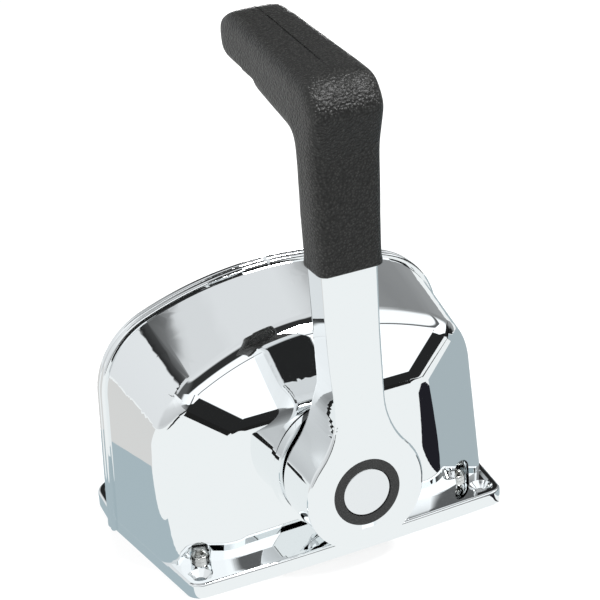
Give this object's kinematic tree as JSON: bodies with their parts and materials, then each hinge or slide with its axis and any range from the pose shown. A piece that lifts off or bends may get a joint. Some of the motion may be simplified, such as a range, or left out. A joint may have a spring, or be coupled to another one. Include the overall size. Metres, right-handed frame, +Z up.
{
  "type": "boat throttle control lever",
  "caption": "Top-mount boat engine control: a faceted chrome housing with one side lever, round hub button and black hooked grip, working shift and throttle arms inside.",
  "frame": {"origin": "underside of the base, middle of the four mounting holes", "axes": "+X fore and aft (the lever swings towards +X for ahead), -Y the lever side, +Z up out of the deck"},
  "size_m": [0.2028, 0.1493, 0.2692],
  "materials": {
    "chrome_casting": "mirror-bright chrome plate on a zinc casting",
    "chrome_button": "mirror-bright chrome plate",
    "black_grip": "moulded black plastic with a fine leather grain",
    "black_bezel": "satin black plastic",
    "stainless": "plain stainless steel",
    "cast_aluminium": "bead-blasted casting",
    "bronze": "sintered bearing bronze",
    "grey_nylon": "plain moulded nylon",
    "black_rubber": "moulded nitrile rubber",
    "switch_plastic": "moulded plastic",
    "steel": "zinc-plated steel"
  },
  "bodies": {
    "housing": {"front_cover": "chrome_casting", "rear_cover": "chrome_casting", "base_plate": "cast_aluminium", "cover_screws": "stainless", "mechanism_frame": "cast_aluminium", "frame_screws": "stainless", "front_bush": "bronze", "rear_bush": "bronze", "shaft_seal": "black_rubber", "pivot_pin": "steel", "pin_clip": "steel", "pin_spacers": "grey_nylon", "detent_bracket": "cast_aluminium", "detent_spring": "steel", "detent_plug": "stainless", "neutral_switch": "switch_plastic", "cable_anchors": "cast_aluminium"},
    "lever": {"lever_arm": "chrome_casting", "grip": "black_grip", "grip_screw": "stainless", "button_bezel": "black_bezel", "lever_shaft": "steel", "shaft_key": "steel", "hub_washer": "stainless", "hub_bolt": "stainless", "drive_gear": "steel", "shaft_spacers": "grey_nylon", "detent_wheel": "steel", "throttle_arm": "steel", "throttle_stud": "stainless", "switch_cam": "grey_nylon", "shaft_clip": "steel", "button_spring": "steel"},
    "button": {"warmup_button": "chrome_button"},
    "shift": {"shift_gear": "steel", "shift_arm": "steel", "shift_stud": "stainless"},
    "detent": {"detent_plunger": "stainless"}
  },
  "joints": [
    {"name": "lever_swing", "type": "hinge", "parent": "housing", "child": "lever", "pos_m": [0, -0.0645, 0.044], "axis": [0, 1, 0], "range_deg": [-75, 85]},
    {"name": "button_push", "type": "slide", "parent": "lever", "child": "button", "axis": [0, 1, 0], "range_m": [0, 0.004], "stiffness_N_per_m": 900, "springref_m": -0.002, "deforming": ["button_spring"]},
    {"name": "shift_swing", "type": "hinge", "parent": "housing", "child": "shift", "pos_m": [-0.04, -0.019, 0.06462], "axis": [0, 1, 0], "range_deg": [-57, 50.5]},
    {"name": "detent_slide", "type": "slide", "parent": "housing", "child": "detent", "axis": [1, 0, 0], "range_m": [0, 0.0015], "stiffness_N_per_m": 1500, "springref_m": -0.002, "deforming": ["detent_spring"]}
  ],
  "couplings": [
    {"joint": "shift_swing", "follows": "lever_swing", "ratio": -0.66667}
  ]
}
